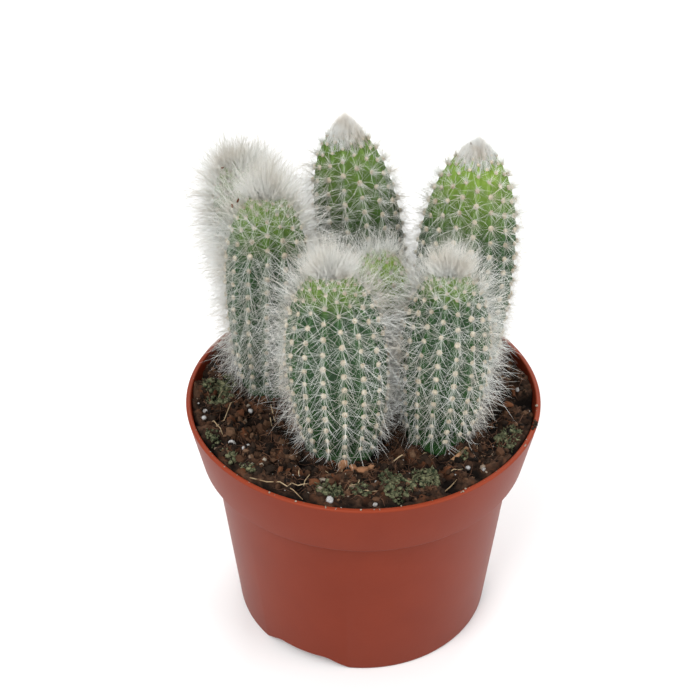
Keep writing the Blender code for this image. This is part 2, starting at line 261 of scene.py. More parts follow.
def mixed(tree, share, first, second):
    """A colour between two, each of which is a colour or the output of a node."""
    mix = tree.nodes.new("ShaderNodeMix")
    mix.data_type = "RGBA"
    tree.links.new(share, mix.inputs["Factor"])
    for socket, given in (("A", first), ("B", second)):
        if isinstance(given, tuple):
            mix.inputs[socket].default_value = (*given, 1)
        else:
            tree.links.new(given, mix.inputs[socket])
    return mix.outputs["Result"]


def mottle_group():
    """Fractal blotches in the object's own space, as a colour between two and as a height."""
    group = bpy.data.node_groups.new("mottle", "ShaderNodeTree")
    sockets = group.interface
    for name in ("Dark", "Light"):
        sockets.new_socket(name, in_out="INPUT", socket_type="NodeSocketColor")
    for name in ("Scale", "Low", "High"):
        sockets.new_socket(name, in_out="INPUT", socket_type="NodeSocketFloat")
    sockets.new_socket("Color", in_out="OUTPUT", socket_type="NodeSocketColor")
    sockets.new_socket("Height", in_out="OUTPUT", socket_type="NodeSocketFloat")
    nodes, links = group.nodes, group.links
    given = nodes.new("NodeGroupInput")
    put_out = nodes.new("NodeGroupOutput")
    place = nodes.new("ShaderNodeTexCoord")
    blotches = nodes.new("ShaderNodeTexNoise")
    blotches.inputs["Detail"].default_value = 5
    blotches.inputs["Roughness"].default_value = 0.6
    spread = nodes.new("ShaderNodeMapRange")
    blotched = mixed(group, spread.outputs["Result"], given.outputs["Dark"], given.outputs["Light"])
    links.new(place.outputs["Object"], blotches.inputs["Vector"])
    links.new(given.outputs["Scale"], blotches.inputs["Scale"])
    links.new(blotches.outputs["Fac"], spread.inputs["Value"])
    links.new(given.outputs["Low"], spread.inputs["From Min"])
    links.new(given.outputs["High"], spread.inputs["From Max"])
    links.new(blotched, put_out.inputs["Color"])
    links.new(spread.outputs["Result"], put_out.inputs["Height"])
    return group


mottle = mottle_group()


def add_mottle(tree, dark, light, scale, low, high):
    """A mottle node with its own two colours, scale in blotches a metre, and contrast."""
    made = tree.nodes.new("ShaderNodeGroup")
    made.node_tree = mottle
    made.inputs["Dark"].default_value = (*dark, 1)
    made.inputs["Light"].default_value = (*light, 1)
    made.inputs["Scale"].default_value = scale
    made.inputs["Low"].default_value = low
    made.inputs["High"].default_value = high
    return made


def add_bump(tree, shader, height, distance, strength):
    bump = tree.nodes.new("ShaderNodeBump")
    bump.inputs["Distance"].default_value = distance
    bump.inputs["Strength"].default_value = strength
    tree.links.new(height, bump.inputs["Height"])
    tree.links.new(bump.outputs["Normal"], shader.inputs["Normal"])


def ranged(tree, value, low, high, most=1):
    """A node's output that rises from 0 to most while the value goes from low to high."""
    spread = tree.nodes.new("ShaderNodeMapRange")
    spread.inputs["From Min"].default_value = low
    spread.inputs["From Max"].default_value = high
    spread.inputs["To Max"].default_value = most
    tree.links.new(value, spread.inputs["Value"])
    return spread.outputs["Result"]


def coat(tree, shader, colour, roughness, specular=0.5):
    """Gives a material its colour, from a node's output, and its surface."""
    tree.links.new(colour, shader.inputs["Base Color"])
    shader.inputs["Roughness"].default_value = roughness
    shader.inputs["Specular IOR Level"].default_value = specular


def settle(piece, node, material):
    """Gives a piece its material and fastens it to the frame."""
    piece.data.materials.clear()
    piece.data.materials.append(material)
    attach(piece, "root")
    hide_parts(node)


TERRACOTTA_DARK = (0.163, 0.0235, 0.0092)
TERRACOTTA = (0.176, 0.0258, 0.0100)
# Painted light: the top of the lip is a lighter orange than the rest of the pot, where the light from
# above falls on it.
LIP_PAINTED_LIGHT = (0.235, 0.038, 0.015)
LIP_LIGHT_BLEND = (POT_HEIGHT - 0.0007, POT_HEIGHT - 0.0001)
# Painted shade: the body is darkened for a few millimetres under the collar's step, most right at the
# step, where the collar shades it.
COLLAR_PAINTED_SHADE = (0.060, 0.012, 0.007)
COLLAR_SHADE_REACH = 0.0040
COLLAR_SHADE_SHARE = 0.30
pot_paint, tree, shader = new_material("terracotta_polypropylene")
tone = add_mottle(tree, TERRACOTTA_DARK, TERRACOTTA, 60, 0.35, 0.65)
place = tree.nodes.new("ShaderNodeTexCoord")
split = tree.nodes.new("ShaderNodeSeparateXYZ")
tree.links.new(place.outputs["Object"], split.inputs["Vector"])
# Painted light on the top of the lip.
near_lip = ranged(tree, split.outputs["Z"], *LIP_LIGHT_BLEND)
lip_lit = mixed(tree, near_lip, tone.outputs["Color"], LIP_PAINTED_LIGHT)
# Painted shade under the collar, on the body only.
under_collar = ranged(tree, split.outputs["Z"], COLLAR_FOOT - COLLAR_SHADE_REACH, COLLAR_FOOT, COLLAR_SHADE_SHARE)
on_body = tree.nodes.new("ShaderNodeMath")
on_body.operation = "LESS_THAN"
on_body.inputs[1].default_value = COLLAR_FOOT + 0.0002
collar_shade = tree.nodes.new("ShaderNodeMath")
collar_shade.operation = "MULTIPLY"
tree.links.new(split.outputs["Z"], on_body.inputs[0])
tree.links.new(under_collar, collar_shade.inputs[0])
tree.links.new(on_body.outputs["Value"], collar_shade.inputs[1])
coat(tree, shader, mixed(tree, collar_shade.outputs["Value"], lip_lit, COLLAR_PAINTED_SHADE), 0.40, 0.10)
shader.inputs["IOR"].default_value = 1.49
grain = add_mottle(tree, (0, 0, 0), (1, 1, 1), 1400, 0.3, 0.7)
add_bump(tree, shader, grain.outputs["Height"], 0.00003, 0.35)
settle(pot, "pot", pot_paint)

# The clump: seven stems laid out first, because the soil has a hole for each. Each leans from its
# foot to its crown and swells between them. Hair and thick scale its bristles' length and number;
# youth is the share of height where its fresh green starts, and how strong that green is.
SOIL_LEVEL = 0.073
PLUG_DEPTH = 0.008
PLUG_COLLAR = 0.0012
RIB_TWIST = 0.12
STEMS = {
    "front_left": dict(foot=(-0.0063, -0.0170), crown=(-0.0090, -0.0180), height=0.0575, radius=0.0142,
                       widest=0.50, foot_share=0.74, dome=2.1, lean=1.3, ribs=16, tuft=0.0142,
                       hair=1.0, thick=0.88, cone=False, youth=(0.82, 0.60), turn=0.10),
    "front_right": dict(foot=(0.0220, -0.0120), crown=(0.0233, -0.0120), height=0.0545, radius=0.0127,
                        widest=0.50, foot_share=0.74, dome=2.1, lean=1.0, ribs=16, tuft=0.0128,
                        hair=1.0, thick=0.94, cone=False, youth=(0.84, 0.60), turn=0.90),
    "left": dict(foot=(-0.0286, 0.0116), crown=(-0.0273, 0.0098), height=0.0653, radius=0.0122,
                 widest=0.56, foot_share=0.70, dome=2.3, lean=1.0, ribs=14, tuft=0.0150,
                 hair=1.35, thick=1.1, cone=False, youth=(0.70, 0.60), turn=2.00),
    "back_left": dict(foot=(-0.0205, 0.0327), crown=(-0.0378, 0.0382), height=0.0598, radius=0.0118,
                      widest=0.50, foot_share=0.72, dome=2.3, lean=0.60, ribs=14, tuft=0.0050,
                      hair=1.18, thick=2.6, cone=False, youth=(0.60, 0.70), turn=1.00),
    "back": dict(foot=(0.0034, 0.0350), crown=(-0.0058, 0.0340), height=0.0730, radius=0.0130,
                 widest=0.46, foot_share=0.80, dome=2.6, lean=1.0, ribs=14, tuft=0.0056,
                 hair=0.64, thick=1.45, cone=True, youth=(0.45, 0.45), turn=0.40),
    "right": dict(foot=(0.0285, 0.0210), crown=(0.0318, 0.0240), height=0.0720, radius=0.0146,
                  widest=0.44, foot_share=0.80, dome=2.3, lean=1.3, ribs=16, tuft=0.0044,
                  hair=0.60, thick=1.3, cone=True, youth=(0.60, 0.88), turn=0.70),
    "middle": dict(foot=(0.0036, 0.0088), crown=(0.0043, 0.0105), height=0.0460, radius=0.0106,
                   widest=0.55, foot_share=0.80, dome=2.2, lean=1.3, ribs=12, tuft=0.0040,
                   hair=0.90, thick=1.1, cone=False, youth=(0.45, 0.95), turn=1.50),
}


def smooth_step(low, high, value):
    """0 below low, 1 above high, and a smooth rise between them, for numbers or arrays."""
    share = np.clip((value - low) / (high - low), 0.0, 1.0)
    return share * share * (3 - 2 * share)


def crest_radius(stem, height):
    """Radius over the rib crests at a height over the soil: a swelling column under a dome."""
    share = np.clip(height / stem["height"], 0.0, 1.0)
    widest = stem["widest"]
    below = stem["radius"] * (1 - (1 - stem["foot_share"]) * ((widest - share) / widest) ** 2)
    dome = np.clip((share - widest) / (1 - widest), 0, 1) ** stem["dome"]
    return np.where(share < widest, below, stem["radius"] * np.sqrt(np.clip(1 - dome, 0, 1)))


def axis_places(stem, height):
    """X and Y of the stem's middle at heights over the soil."""
    risen = (height - PLUG_COLLAR) / (stem["height"] - PLUG_COLLAR)
    share = np.clip(risen, 0, 1) ** stem["lean"]
    foot, crown = stem["foot"], stem["crown"]
    return foot[0] + (crown[0] - foot[0]) * share, foot[1] + (crown[1] - foot[1]) * share


# Soil: peat and coir packed to just under the lip, risen a little against the front of the rim.
# The filling is one solid with a hole for each stem, and its top is broken into fine clods.
GAP = 0.0003
SOIL_FRONT_RISE = 0.0032
RISE_ZONE = (0.031, 0.0445)
LUMP_HEIGHT = 0.0002
SOIL_STEPS = 300
SOIL_RING = 0.00060
COARSE_CLODS = (150, 0.0030)
FINE_CLODS = (380, 0.0018)
CRUMB_RELIEF = (1000, 0.0010)
CLOD_RANGE = 0.0022
# Painted shade: the hollows between the clods are painted nearly black, where shade falls in them.
HOLLOW_PAINTED_SHADE = (0.006, 0.004, 0.003)
RUSSET = (0.120, 0.045, 0.020)


def inner_wall_radius(z):
    heights = (0, STEP_FOOT, COLLAR_FOOT, POT_HEIGHT)
    radii = (BASE_RADIUS - WALL, BODY_TOP_RADIUS - WALL, COLLAR_FOOT_RADIUS - WALL, RIM_RADIUS - LIP)
    return np.interp(z, heights, radii)


def soil_height(x, y):
    """Mean height of the soil, without its clods, for numbers or arrays."""
    out = np.hypot(x, y)
    edge = smooth_step(*RISE_ZONE, out)
    front = 0.5 - 0.5 * y / np.maximum(out, 0.001)
    lumps = np.sin(x * 260 + 1) * np.cos(y * 310) + np.sin((x + y) * 170)
    return SOIL_LEVEL + SOIL_FRONT_RISE * edge * (0.25 + 0.75 * front) + LUMP_HEIGHT * lumps


def clods(x, y):
    """Height of the clods: noise at three sizes, each with its waves a metre and its depth."""
    height = 0.0
    for waves, depth in (COARSE_CLODS, FINE_CLODS, CRUMB_RELIEF):
        height += depth * noise.noise(Vector((x * waves, y * waves, waves)))
    return height


def mark(piece, name, values):
    """Stores a value under a name for each point of a piece, for its material to read."""
    piece.data.attributes.new(name, "FLOAT", "POINT").data.foreach_set("value", values)


def mark_read(tree, name):
    """The output that gives a stored value to a material."""
    attribute = tree.nodes.new("ShaderNodeAttribute")
    attribute.attribute_name = name
    return attribute.outputs["Fac"]


brim = float(inner_wall_radius(SOIL_LEVEL)) - GAP
rings = int(brim / SOIL_RING)
soil_profile = [(brim * ring / rings, SOIL_LEVEL) for ring in range(rings + 1)]
soil_floor = FLOOR_UNDERSIDE + WALL + GAP
for z in (COLLAR_FOOT, STEP_FOOT, soil_floor + WALL):
    soil_profile.append((float(inner_wall_radius(z)) - GAP, z))
soil_profile.append((float(inner_wall_radius(soil_floor)) - 2 * WALL, soil_floor))
soil_profile.append((0, soil_floor))
bm = turned(soil_profile, SOIL_STEPS)
hole_rows = [(stem["foot"], float(crest_radius(stem, PLUG_COLLAR)) + GAP) for stem in STEMS.values()]
for vert in bm.verts:
    x, y, z = vert.co
    if abs(z - SOIL_LEVEL) > 1e-6:
        continue
    vert.co.z = float(soil_height(x, y)) + clods(x, y)
    spread = (float(inner_wall_radius(vert.co.z)) - GAP) / brim - 1
    vert.co.xy *= 1 + spread * float(smooth_step(0.90, 1.0, math.hypot(x, y) / brim))
    if any(math.hypot(x - foot[0], y - foot[1]) < radius for foot, radius in hole_rows):
        vert.co.z = SOIL_LEVEL - PLUG_DEPTH - GAP
soil = piece_from(bm, "soil_filling")
mark(soil, "rise", [0.5 + clods(vert.co.x, vert.co.y) / CLOD_RANGE for vert in soil.data.vertices])
soil_paint, tree, shader = new_material("peat_and_coir")
peat = add_mottle(tree, (0.014, 0.0075, 0.005), (0.100, 0.052, 0.031), 420, 0.35, 0.68)
russet = add_mottle(tree, (0, 0, 0), (1, 1, 1), 160, 0.50, 0.66)
shade = mixed(tree, russet.outputs["Height"], peat.outputs["Color"], RUSSET)
# Painted shade: nearly black in the hollows, following the height of the clods.
shade = mixed(tree, mark_read(tree, "rise"), HOLLOW_PAINTED_SHADE, shade)
coat(tree, shader, shade, 0.95, 0.12)
add_bump(tree, shader, peat.outputs["Height"], 0.0004, 0.8)
settle(soil, "soil", soil_paint)

# Crumbs: loose bits of peat, bark and coir pith that lie half sunk in the top of the soil. Most are
# nearly black, and some are red-brown or tan. Clumps are the larger ones.
CRUMBS = 3300
CRUMB_SIZES = (0.00028, 0.00115)
CLUMPS = 60
CLUMP_SIZES = (0.0009, 0.0019)
STEM_ROOM = 0.0004


def lies_free(x, y, room):
    """Whether a place on the soil lies clear of the stems and of the pot's wall."""
    if math.hypot(x, y) > brim - room:
        return False
    return all(math.hypot(x - foot[0], y - foot[1]) > radius + room for foot, radius in hole_rows)


def ground(x, y):
    return float(soil_height(x, y)) + clods(x, y)


spare = bpy.data.meshes.new("spare")


def add_to(whole, bm):
    """Moves a finished small shape into the whole one."""
    count = len(bm.verts)
    bm.to_mesh(spare)
    bm.free()
    whole.from_mesh(spare)
    return count


def add_lump(whole, place, sizes, rng, subdivisions=1, rough=0.25):
    """An uneven lump of given half sizes, turned any way; gives its count of points."""
    turn = Matrix.Rotation(rng.uniform(0, math.tau), 4, Vector(rng.normal(0, 1, 3)))
    matrix = Matrix.Translation(place) @ turn @ Matrix.Diagonal((*sizes, 1))
    bm = bmesh.new()
    bmesh.ops.create_icosphere(bm, subdivisions=subdivisions, radius=1, matrix=matrix)
    for vert in bm.verts:
        vert.co = Vector(place) + (vert.co - Vector(place)) * rng.uniform(1 - rough, 1 + rough)
    return add_to(whole, bm)


def paint_by_tint(name, stops):
    """A rough material whose colour follows each point's own tint through the given stops."""
    material, tree, shader = new_material(name)
    ramp = tree.nodes.new("ShaderNodeValToRGB")
    elements = ramp.color_ramp.elements
    while len(elements) < len(stops):
        elements.new(0.5)
    for element, (place, colour) in zip(elements, stops):
        element.position = place
        element.color = (*colour, 1)
    grain = add_mottle(tree, (0.65, 0.65, 0.65), (1, 1, 1), 1500, 0.3, 0.7)
    blend = tree.nodes.new("ShaderNodeMix")
    blend.data_type = "RGBA"
    blend.blend_type = "MULTIPLY"
    blend.inputs["Factor"].default_value = 1
    tree.links.new(mark_read(tree, "tint"), ramp.inputs["Fac"])
    tree.links.new(ramp.outputs["Color"], blend.inputs["A"])
    tree.links.new(grain.outputs["Color"], blend.inputs["B"])
    coat(tree, shader, blend.outputs["Result"], 0.9, 0.15)
    return material


crumb_paint = paint_by_tint("peat_crumbs", (
    (0.00, (0.008, 0.005, 0.0035)),
    (0.38, (0.032, 0.019, 0.012)),
    (0.62, (0.085, 0.040, 0.021)),
    (0.86, (0.170, 0.100, 0.060)),
    (1.00, (0.420, 0.370, 0.300)),
))
rng = np.random.default_rng(7)
bm = bmesh.new()
tints = []
while len(tints) < CRUMBS * 12:
    out = brim * math.sqrt(rng.uniform(0, 1))
    around = rng.uniform(0, math.tau)
    size = CRUMB_SIZES[0] + (CRUMB_SIZES[1] - CRUMB_SIZES[0]) * rng.uniform(0, 1) ** 2.6
    x, y = out * math.cos(around), out * math.sin(around)
    if not lies_free(x, y, size + STEM_ROOM) or clods(x, y) < rng.uniform(-0.0010, 0.0002):
        continue
    sizes = size * rng.uniform(0.6, 1.2, 3)
    count = add_lump(bm, (x, y, ground(x, y) + size * 0.3), sizes, rng, rough=0.38)
    patch = 0.35 * noise.noise(Vector((x * 110, y * 110, 3)))
    tints += [min(max(rng.beta(1.2, 2.0) + patch, 0), 1)] * count
clumps = 0
while clumps < CLUMPS:
    x, y = rng.uniform(-brim, brim, 2)
    size = rng.uniform(*CLUMP_SIZES)
    if not lies_free(x, y, size + STEM_ROOM):
        continue
    count = add_lump(bm, (x, y, ground(x, y)), size * rng.uniform(0.6, 1.1, 3), rng, 2, 0.22)
    tints += [rng.uniform(0.15, 0.80)] * count
    clumps += 1
crumbs = piece_from(bm, "crumbs")
crumbs.data.shade_flat()
mark(crumbs, "tint", tints)
settle(crumbs, "soil", crumb_paint)

# Fibres: coir threads and bits of straw strewn over the peat. Each is a thin stalk that lies along the
# ground and lifts here and there; the long pale one lies against the front of the rim.
COIR_FIBRES = 600
STRAWS = 34
FIBRE_RADIUS = 0.00011
STRAW_RADIUS = 0.00019
STALK_SEAT = 0.0002
LONG_FIBRE = (
    (-0.0310, -0.0391), (-0.0262, -0.0405), (-0.0226, -0.0411), (-0.0188, -0.0440), (-0.0162, -0.0464))
THIN_STRAW = ((0.0223, -0.0423), (0.0242, -0.0401), (0.0260, -0.0381))
ROOTLET = ((0.0083, -0.0285), (0.0100, -0.0268), (0.0110, -0.0262), (0.0120, -0.0250))
LEFT_STRAW = ((-0.0420, -0.0175), (-0.0405, -0.0110), (-0.0390, -0.0050), (-0.0375, 0.0000))


def strands(name, radius, line_sets):
    """One mesh of three-sided strands, drawn along sets of lines that each have thickness shares."""
    section = bpy.data.curves.new("strand_section", "CURVE")
    corners = section.splines.new("POLY")
    corners.points.add(2)
    for number, corner in enumerate(corners.points):
        angle = number * math.tau / 3
        corner.co = (math.cos(angle) * radius, math.sin(angle) * radius, 0, 1)
    corners.use_cyclic_u = True
    section_object = new_piece("strand_section", section)
    curve = bpy.data.curves.new(name, "CURVE")
    curve.dimensions = "3D"
    curve.bevel_mode = "OBJECT"
    curve.bevel_object = section_object
    curve.use_fill_caps = True
    for lines, thickness in line_sets:
        count = lines.shape[1]
        shares = np.interp(np.linspace(0, 1, count), np.linspace(0, 1, len(thickness)), thickness)
        four = np.concatenate([lines, np.ones((*lines.shape[:2], 1))], axis=2)
        for line in four:
            spline = curve.splines.new("POLY")
            spline.points.add(count - 1)
            spline.points.foreach_set("co", line.ravel())
            spline.points.foreach_set("radius", shares)
    guide = new_piece(f"{name}_lines", curve)
    depsgraph = bpy.context.evaluated_depsgraph_get()
    mesh = bpy.data.meshes.new_from_object(guide.evaluated_get(depsgraph))
    bpy.data.objects.remove(guide)
    bpy.data.objects.remove(section_object)
    bm = bmesh.new()
    bm.from_mesh(mesh)
    bmesh.ops.remove_doubles(bm, verts=bm.verts, dist=1e-6)
    bmesh.ops.recalc_face_normals(bm, faces=bm.faces)
    bm.to_mesh(mesh)
    bm.free()
    mesh.shade_smooth()
    return new_piece(name, mesh)


def strewn(count, shortest, longest, lift, rng):
    """Lines of five points that lie over the soil in any direction."""
    lines = []
    while len(lines) < count:
        out = (brim - 0.002) * math.sqrt(rng.uniform(0, 1))
        around, way = rng.uniform(0, math.tau, 2)
        length = rng.uniform(shortest, longest)
        bend = rng.normal(0, 0.5)
        places = []
        x, y = out * math.cos(around), out * math.sin(around)
        for _ in range(5):
            places.append((x, y, ground(x, y) + rng.uniform(0.0001, lift)))
            way += bend / 4
            x += math.cos(way) * length / 4
            y += math.sin(way) * length / 4
        if all(lies_free(place[0], place[1], 0.0005) for place in places):
            lines.append(places)
    return np.array(lines)


def laid(places, lift):
    """One line through named places on the soil, lifted off it in the middle."""
    line = []
    for (x, y), share in zip(places, np.linspace(0, 1, len(places))):
        line.append((x, y, ground(x, y) + STALK_SEAT + lift * math.sin(math.pi * share)))
    return np.array([line])


def blotched_paint(name, dark, light, scale, low, high, roughness, specular=0.5):
    """A material of blotches between two colours."""
    material, tree, shader = new_material(name)
    tone = add_mottle(tree, dark, light, scale, low, high)
    coat(tree, shader, tone.outputs["Color"], roughness, specular)
    return material


coir_paint = blotched_paint("coir", (0.050, 0.022, 0.012), (0.150, 0.065, 0.030), 200, 0.35, 0.65, 0.8)
rng = np.random.default_rng(21)
threads = strewn(COIR_FIBRES, 0.003, 0.009, 0.0009, rng)
fibres = strands("coir_fibres", FIBRE_RADIUS, [(threads, (1, 1, 0.5))])
settle(fibres, "soil", coir_paint)
straw_paint = blotched_paint("straw", (0.26, 0.17, 0.09), (0.60, 0.46, 0.28), 160, 0.35, 0.65, 0.7)
stalks = [strewn(STRAWS, 0.003, 0.008, 0.0010, rng), laid(LONG_FIBRE, 0.0016), laid(THIN_STRAW, 0.0003),
          laid(ROOTLET, 0.0010), laid(LEFT_STRAW, 0.0006)]
straws = strands("straws", STRAW_RADIUS, [(lines, (1, 1, 0.6)) for lines in stalks])
settle(straws, "soil", straw_paint)

# Perlite: puffed volcanic glass, white grains in the mix. A few are big, round and crusty, placed as
# they lie, by x, y and radius; many are mere specks.
PERLITE = (
    (-0.0372, -0.0232, 0.00125), (-0.0326, -0.0242, 0.00085), (-0.0337, -0.0254, 0.00070),
    (-0.0332, -0.0058, 0.00085), (-0.0460, -0.0132, 0.00085), (-0.0462, -0.0080, 0.00070),
    (-0.0088, -0.0482, 0.00110), (0.0039, -0.0368, 0.00065), (-0.0187, -0.0308, 0.00060),
    (-0.0097, -0.0449, 0.00045), (-0.0058, -0.0492, 0.00045), (0.0034, -0.0490, 0.00060),
    (0.0336, -0.0339, 0.00065), (0.0294, -0.0316, 0.00070), (0.0153, -0.0437, 0.00050),
    (0.0230, 0.0440, 0.00100), (-0.0120, 0.0180, 0.00080), (0.0460, 0.0020, 0.00070))
PERLITE_SPECKS = 60
SPECK_SIZES = (0.00012, 0.00034)
perlite_paint = blotched_paint("perlite", (0.16, 0.14, 0.12), (0.46, 0.46, 0.46), 900, 0.34, 0.58, 0.85)
rng = np.random.default_rng(31)
bm = bmesh.new()
for x, y, size in PERLITE:
    add_lump(bm, (x, y, ground(x, y) + size * 0.5), size * rng.uniform(0.8, 1.1, 3), rng, 2, 0.12)
specks = 0
while specks < PERLITE_SPECKS:
    x, y = rng.uniform(-brim, brim, 2)
    if lies_free(x, y, 0.0006):
        size = rng.uniform(*SPECK_SIZES)
        add_lump(bm, (x, y, ground(x, y) + size), (size, size, size), rng)
        specks += 1
settle(piece_from(bm, "perlite"), "soil", perlite_paint)

# Bark: torn bits of composted bark and one pale splinter, larger than the crumbs. Five tan bits lie
# before the foot of the front left stem, and the splinter lies before the front right one.
TAN_BARK = (
    (-0.0056, -0.0304, 0.0022), (-0.0026, -0.0312, 0.0019), (-0.0002, -0.0318, 0.0021),
    (0.0020, -0.0300, 0.0015), (-0.0040, -0.0338, 0.0015))
RED_BARK = ((-0.0229, -0.0355, 0.0016), (-0.0133, -0.0401, 0.0017), (-0.0210, -0.0340, 0.0012),
            (-0.0380, -0.0150, 0.0015), (-0.0360, -0.0085, 0.0016), (0.0425, -0.0060, 0.0017),
            (0.0445, 0.0010, 0.0014), (-0.0440, 0.0010, 0.0013), (0.0050, -0.0400, 0.0012))
SPLINTER_FOOT = Vector((0.0242, -0.0298, 0))
SPLINTER_TIP = Vector((0.0299, -0.0240, 0))
SPLINTER_SIZE = (0.0075, 0.0011, 0.0006)
SPLINTER_TILT = math.radians(-8)
bark_paint = paint_by_tint("bark", (
    (0.0, (0.075, 0.026, 0.012)),
    (0.5, (0.150, 0.058, 0.026)),
    (0.8, (0.300, 0.115, 0.052)),
    (1.0, (0.420, 0.250, 0.140)),
))
bm = bmesh.new()
tints = []
for bits, low, high in ((TAN_BARK, 0.80, 0.93), (RED_BARK, 0.1, 0.6)):
    for x, y, size in bits:
        sizes = size * np.array([1.0, 0.75, 0.45]) * rng.uniform(0.8, 1.1, 3)
        count = add_lump(bm, (x, y, ground(x, y) + size * 0.50), sizes, rng, 2, 0.22)
        tints += [rng.uniform(low, high)] * count
run = SPLINTER_TIP - SPLINTER_FOOT
seat = SPLINTER_FOOT + run / 2
seat.z = max(ground(*SPLINTER_FOOT.xy), ground(*SPLINTER_TIP.xy), ground(*seat.xy)) + 0.0006
turn = Matrix.Rotation(math.atan2(run.y, run.x), 4, "Z") @ Matrix.Rotation(SPLINTER_TILT, 4, "Y")
made = bmesh.ops.create_cube(
    bm, size=1, matrix=Matrix.Translation(seat) @ turn @ Matrix.Diagonal((*SPLINTER_SIZE, 1)))
splinter_edges = {edge for vert in made["verts"] for edge in vert.link_edges}
round_edges(bm, list(splinter_edges), 0.0002, 2)
tints += [0.95] * (len(bm.verts) - len(tints))
bark = piece_from(bm, "bark")
bark.data.set_sharp_from_angle(angle=math.radians(50))
mark(bark, "tint", tints)
settle(bark, "soil", bark_paint)

# Moss: small patches that have seeded themselves on the damp peat, each a few cushions under a
# thicket of short sprigs. A patch has its place, its reach and its count of sprigs.
MOSS = (
    (-0.0089, -0.0431, 0.0038, 160), (-0.0001, -0.0430, 0.0026, 90), (0.0097, -0.0420, 0.0048, 260),
    (0.0172, -0.0380, 0.0044, 220), (0.0423, -0.0199, 0.0045, 180), (0.0274, -0.0277, 0.0022, 50),
    (-0.0440, 0.0045, 0.0036, 130), (-0.0435, -0.0205, 0.0026, 70), (-0.0385, -0.0300, 0.0030, 80),
    (-0.0324, -0.0353, 0.0026, 70), (0.0370, 0.0400, 0.0050, 120), (0.0080, -0.0355, 0.0030, 90),
    (-0.0425, -0.0010, 0.0040, 150), (-0.0410, 0.0060, 0.0030, 80))
CUSHION_SIZES = (0.0003, 0.0009)
SPRIG_RADIUS = 0.00020
SPRIG_LENGTHS = (0.0007, 0.0015)
moss_paint = blotched_paint(
    "moss", (0.010, 0.022, 0.008), (0.210, 0.205, 0.115), 1000, 0.38, 0.70, 0.8, specular=0.20)
rng = np.random.default_rng(51)
sprigs = []
cushions = bmesh.new()
for x, y, reach, count in MOSS:
    for _ in range(count // 2):
        off, around = reach * math.sqrt(rng.uniform(0, 1)), rng.uniform(0, math.tau)
        seat_x, seat_y = x + off * math.cos(around), y + off * math.sin(around)
        size = rng.uniform(*CUSHION_SIZES)
        if lies_free(seat_x, seat_y, size + 0.0003):
            sizes = size * rng.uniform(0.6, 1.1, 3)
            add_lump(cushions, (seat_x, seat_y, ground(seat_x, seat_y) + size * 0.5), sizes, rng)
    for _ in range(count):
        off, around, way = reach * math.sqrt(rng.uniform(0, 1)), *rng.uniform(0, math.tau, 2)
        root_x, root_y = x + off * math.cos(around), y + off * math.sin(around)
        if not lies_free(root_x, root_y, 0.0015):
            continue
        length, spread = rng.uniform(*SPRIG_LENGTHS), rng.uniform(0.2, 1.2)
        root = np.array([root_x, root_y, ground(root_x, root_y) - 0.0002])
        side = np.array([math.cos(way), math.sin(way), 0]) * spread * length
        bend = root + side * 0.4 + (0, 0, length * 0.7)
        tip = root + side + (0, 0, length * 0.9)
        sprigs.append([root, bend, tip])
moss = strands("moss", SPRIG_RADIUS, [(np.array(sprigs), (0.8, 1, 0.5))])
settle(moss, "soil", moss_paint)
settle(piece_from(cushions, "moss_cushions"), "soil", moss_paint)

# Dust on the lip: crumbs of peat and pale grit that stuck there when the pot was filled, most of them
# along the front, and one heap that spills over at the front right.
LIP_DUST = 38
SPILL_AZIMUTH = math.radians(72)
SPILL = 14
SPILL_SIZES = (0.00030, 0.00065)
rng = np.random.default_rng(61)
bm = bmesh.new()
tints = []
for number in range(LIP_DUST + SPILL):
    spilt = number >= LIP_DUST
    azimuth = rng.normal(SPILL_AZIMUTH, 0.022) if spilt else rng.normal(0, 0.9)
    size = rng.uniform(*SPILL_SIZES) if spilt else 0.00010 + 0.00034 * rng.uniform(0, 1) ** 2
    out = RIM_RADIUS - LIP / 2 - rng.uniform(-0.0003, 0.0006)
    place = at_azimuth(azimuth, out, POT_HEIGHT + size * 0.4)
    count = add_lump(bm, place, size * rng.uniform(0.6, 1.1, 3), rng)
    tints += [rng.uniform(0.1, 0.7) if spilt else rng.uniform(0.92, 1.0)] * count
dust = piece_from(bm, "lip_dust")
dust.data.shade_flat()
mark(dust, "tint", tints)
settle(dust, "pot", crumb_paint)

# Stem bodies: green ribbed columns. The ribs are low and rounded, with a mound under each areole
# and a shallow chin between mounds; rows of areoles close up towards the crown.
BODY_COLUMNS = 96
BODY_RINGS = 84
RIB_DEPTH = 0.0013
MOUND = 0.00045
MOUND_REACH = 0.0015
AREOLE_STEP = 0.0044
CROWN_STEP = 0.0027
STEP_GROWS_OVER = 0.018


def meridian(stem):
    """The outline from the crown down: way along it, height, radius, areole rows and their spacing."""
    down = np.concatenate([1 - np.linspace(0, 1, 400) ** 2 * 0.5, np.linspace(0.5, 0, 400)[1:]])
    heights = down * stem["height"]
    radii = crest_radius(stem, heights)
    heights = np.append(heights, [-PLUG_DEPTH * 0.9, -PLUG_DEPTH, -PLUG_DEPTH])
    radii = np.append(radii, [radii[-1], radii[-1] * 0.9, 0])
    steps = np.hypot(np.diff(heights), np.diff(radii))
    way = np.concatenate([[0], np.cumsum(steps)])
    spacing = CROWN_STEP + (AREOLE_STEP - CROWN_STEP) * smooth_step(0, STEP_GROWS_OVER, way)
    rows = np.concatenate([[0], np.cumsum(steps / spacing[1:])])
    return way, heights, radii, rows, spacing


def rib_angle(stem, rib, height):
    """Where a rib stands round the stem; ribs lean over a little on their way up."""
    return (rib / stem["ribs"]) * math.tau + stem["turn"] + RIB_TWIST * height / stem["height"]


